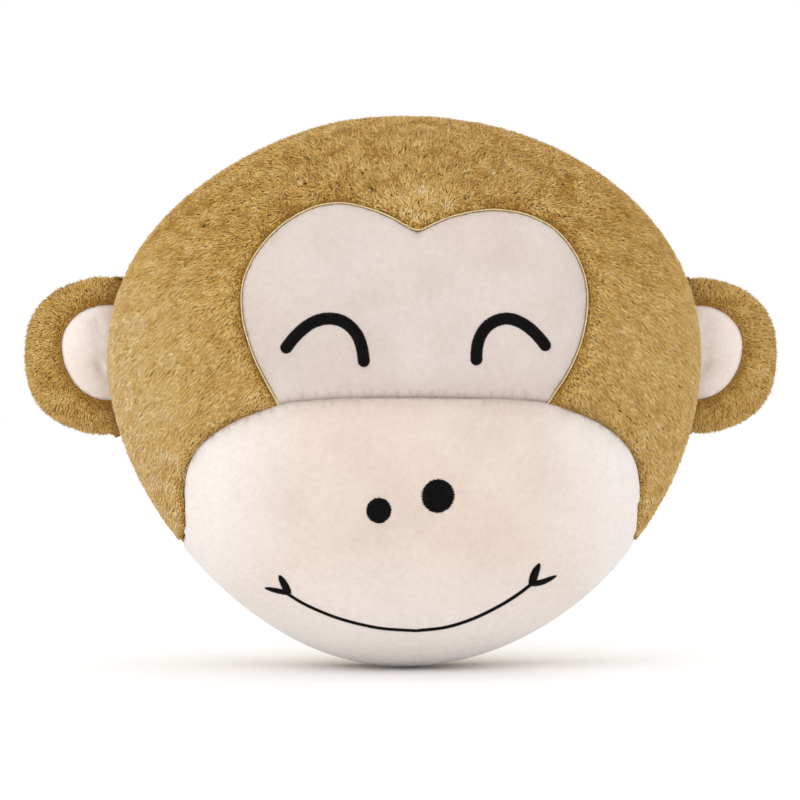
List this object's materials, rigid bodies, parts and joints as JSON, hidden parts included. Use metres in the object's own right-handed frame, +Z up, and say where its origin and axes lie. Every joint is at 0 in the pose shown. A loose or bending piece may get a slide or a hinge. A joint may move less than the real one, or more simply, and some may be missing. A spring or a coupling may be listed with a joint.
{
  "type": "monkey face plush cushion",
  "caption": "Padded monkey-face plush cushion with velour face and muzzle, stitched closed eyes and smile, and soft ears sewn into the side seams.",
  "frame": {"origin": "on the floor under the middle of the bounding box, at the level of the flat under the chin", "axes": "+Z up to the crown, -Y out of the face, +X towards the ear on the viewer's right"},
  "size_m": [0.412, 0.1574, 0.298],
  "materials": {
    "tan_plush": "short golden tan plush pile, combed down the cheeks and ruffled over the forehead",
    "face_velour": "pale pink-beige short velour",
    "muzzle_velour": "pale peach short velour, puffed",
    "inner_ear_velour": "pale pink short velour",
    "black_thread": "black satin stitch",
    "tan_thread": "tan sewing thread",
    "fibre_fill": "white polyester fibre filling",
    "label_satin": "plain white satin ribbon, nothing printed"
  },
  "bodies": {
    "head": {"head_filling": "fibre_fill", "front_fur_panel": "tan_plush", "face_patch": "face_velour", "face_patch_edging": "tan_thread", "muzzle_panel": "muzzle_velour", "left_eye": "black_thread", "right_eye": "black_thread", "left_nostril": "black_thread", "right_nostril": "black_thread", "mouth_line": "black_thread", "left_mouth_corner": "black_thread", "right_mouth_corner": "black_thread", "back_left_panel": "tan_plush", "back_right_panel": "tan_plush", "closing_stitches": "tan_thread"},
    "left_ear": {"left_ear_filling": "fibre_fill", "left_ear_front": "tan_plush", "left_inner_ear": "inner_ear_velour", "left_ear_back": "tan_plush"},
    "right_ear": {"right_ear_filling": "fibre_fill", "right_ear_front": "tan_plush", "right_inner_ear": "inner_ear_velour", "right_ear_back": "tan_plush"},
    "care_label": {"care_label": "label_satin"}
  },
  "joints": [
    {"name": "left_ear_flex", "type": "hinge", "parent": "head", "child": "left_ear", "pos_m": [-0.1637, 0.0233, 0.168], "axis": [0, 0, -1], "range_deg": [-50, 50], "stiffness_Nm_per_rad": 0.05},
    {"name": "right_ear_flex", "type": "hinge", "parent": "head", "child": "right_ear", "pos_m": [0.1637, 0.0233, 0.168], "axis": [0, 0, 1], "range_deg": [-50, 50], "stiffness_Nm_per_rad": 0.05},
    {"name": "care_label_flap", "type": "hinge", "parent": "head", "child": "care_label", "pos_m": [0, 0.0718, 0.078], "axis": [1, 0, 0], "range_deg": [0, 110]}
  ]
}
